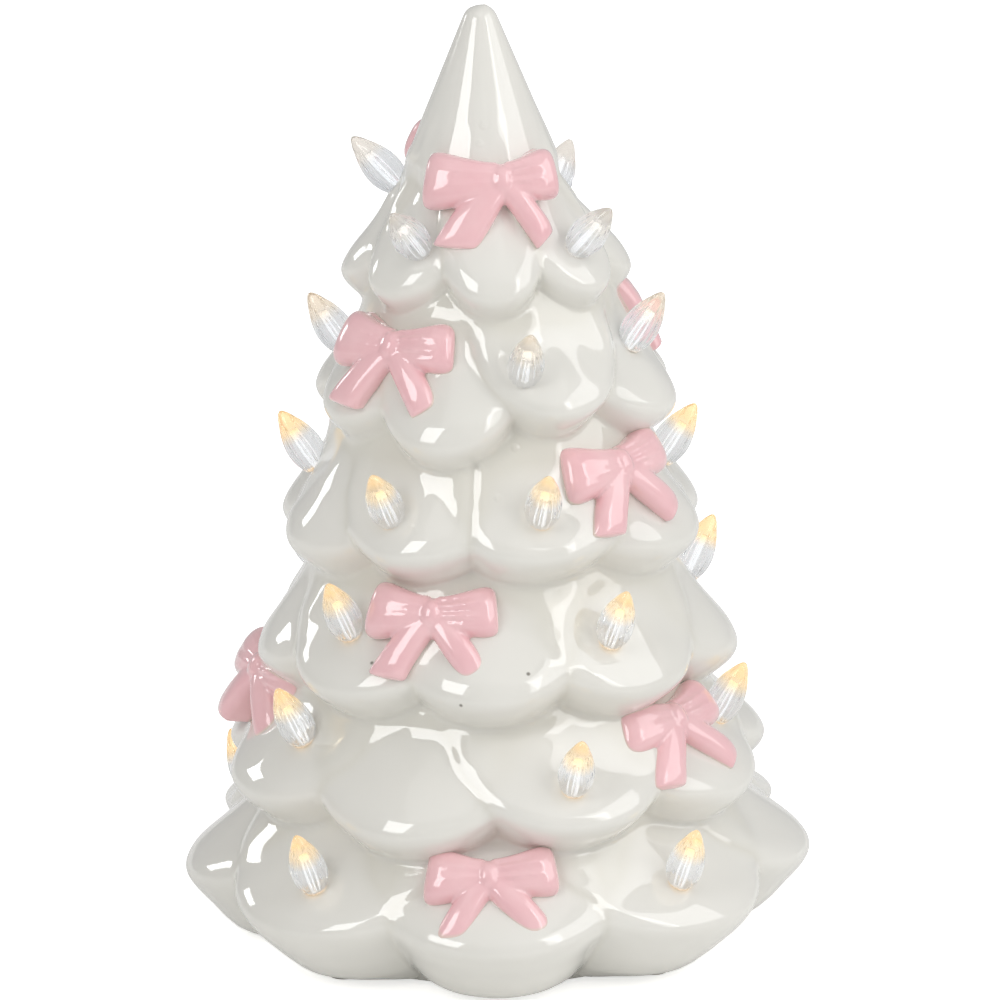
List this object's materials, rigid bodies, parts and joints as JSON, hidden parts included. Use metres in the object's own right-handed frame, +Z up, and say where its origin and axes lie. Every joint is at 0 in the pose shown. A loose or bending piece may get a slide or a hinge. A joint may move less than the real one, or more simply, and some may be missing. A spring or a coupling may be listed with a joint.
{
  "type": "ceramic christmas tree",
  "caption": "Glossy white ceramic tabletop tree with tiers of puffed branches, clear light pegs, pink ceramic bows and a battery light unit in its foot.",
  "frame": {"origin": "on the table, under the middle of the foot", "axes": "+Z up through the nose of the tree, front (the pictured side) towards -Y, +X to the right"},
  "size_m": [0.173, 0.1742, 0.262],
  "materials": {
    "white_glaze": "thick glossy off-white glaze over cast ceramic",
    "pink_glaze": "glossy pink glaze, paler at the edges",
    "clear_bulb": "clear fluted plastic with a warm amber tip",
    "unit_plastic": "moulded off-white plastic, fine texture",
    "seal_foam": "closed cell foam tape",
    "pad_felt": "pressed felt",
    "screw_steel": "zinc plated steel",
    "contact_nickel": "nickel plated spring steel",
    "battery_sleeve": "plain dark sleeve, density near that of a cell",
    "board_laminate": "green solder mask",
    "lamp_resin": "clear warm white lamp resin",
    "switch_can": "pressed steel can",
    "knob_plastic": "black moulded plastic",
    "red_insulation": "red insulated wire",
    "black_insulation": "black insulated wire"
  },
  "bodies": {
    "tree": {"tree_shell": "white_glaze", "bow_01": "pink_glaze", "bow_02": "pink_glaze", "bow_03": "pink_glaze", "bow_04": "pink_glaze", "bow_05": "pink_glaze", "bow_06": "pink_glaze", "bow_07": "pink_glaze", "bow_08": "pink_glaze", "bow_09": "pink_glaze", "bow_10": "pink_glaze", "bow_11": "pink_glaze", "bow_12": "pink_glaze", "bulb_01": "clear_bulb", "bulb_02": "clear_bulb", "bulb_03": "clear_bulb", "bulb_04": "clear_bulb", "bulb_05": "clear_bulb", "bulb_06": "clear_bulb", "bulb_07": "clear_bulb", "bulb_08": "clear_bulb", "bulb_09": "clear_bulb", "bulb_10": "clear_bulb", "bulb_11": "clear_bulb", "bulb_12": "clear_bulb", "bulb_13": "clear_bulb", "bulb_14": "clear_bulb", "bulb_15": "clear_bulb", "bulb_16": "clear_bulb", "bulb_17": "clear_bulb", "bulb_18": "clear_bulb", "bulb_19": "clear_bulb", "bulb_20": "clear_bulb", "bulb_21": "clear_bulb", "bulb_22": "clear_bulb", "bulb_23": "clear_bulb", "bulb_24": "clear_bulb", "bulb_25": "clear_bulb", "bulb_26": "clear_bulb", "bulb_27": "clear_bulb", "bulb_28": "clear_bulb", "bulb_29": "clear_bulb", "foot_pads": "pad_felt", "base_plate": "unit_plastic", "base_gasket": "seal_foam", "battery_1": "battery_sleeve", "battery_2": "battery_sleeve", "battery_3": "battery_sleeve", "bridge_contacts": "contact_nickel", "end_contacts": "contact_nickel", "led_board": "board_laminate", "leds": "lamp_resin", "unit_screws": "screw_steel", "switch_body": "switch_can", "lead_red": "red_insulation", "lead_black": "black_insulation", "switch_lead": "black_insulation"},
    "battery_door": {"battery_door": "unit_plastic"},
    "door_screw": {"door_screw": "screw_steel"},
    "switch_slider": {"switch_slider": "knob_plastic"}
  },
  "joints": [
    {"name": "battery_door_hinge", "type": "hinge", "parent": "tree", "child": "battery_door", "pos_m": [-0.0236, 0.007, 0.00335], "axis": [0, 1, 0], "range_deg": [0, 95]},
    {"name": "door_screw_turn", "type": "hinge", "parent": "battery_door", "child": "door_screw", "pos_m": [0.03025, 0.007, 0.0035], "axis": [0, 0, -1], "continuous": true},
    {"name": "light_switch", "type": "slide", "parent": "tree", "child": "switch_slider", "axis": [1, 0, 0], "range_m": [0, 0.003]}
  ]
}
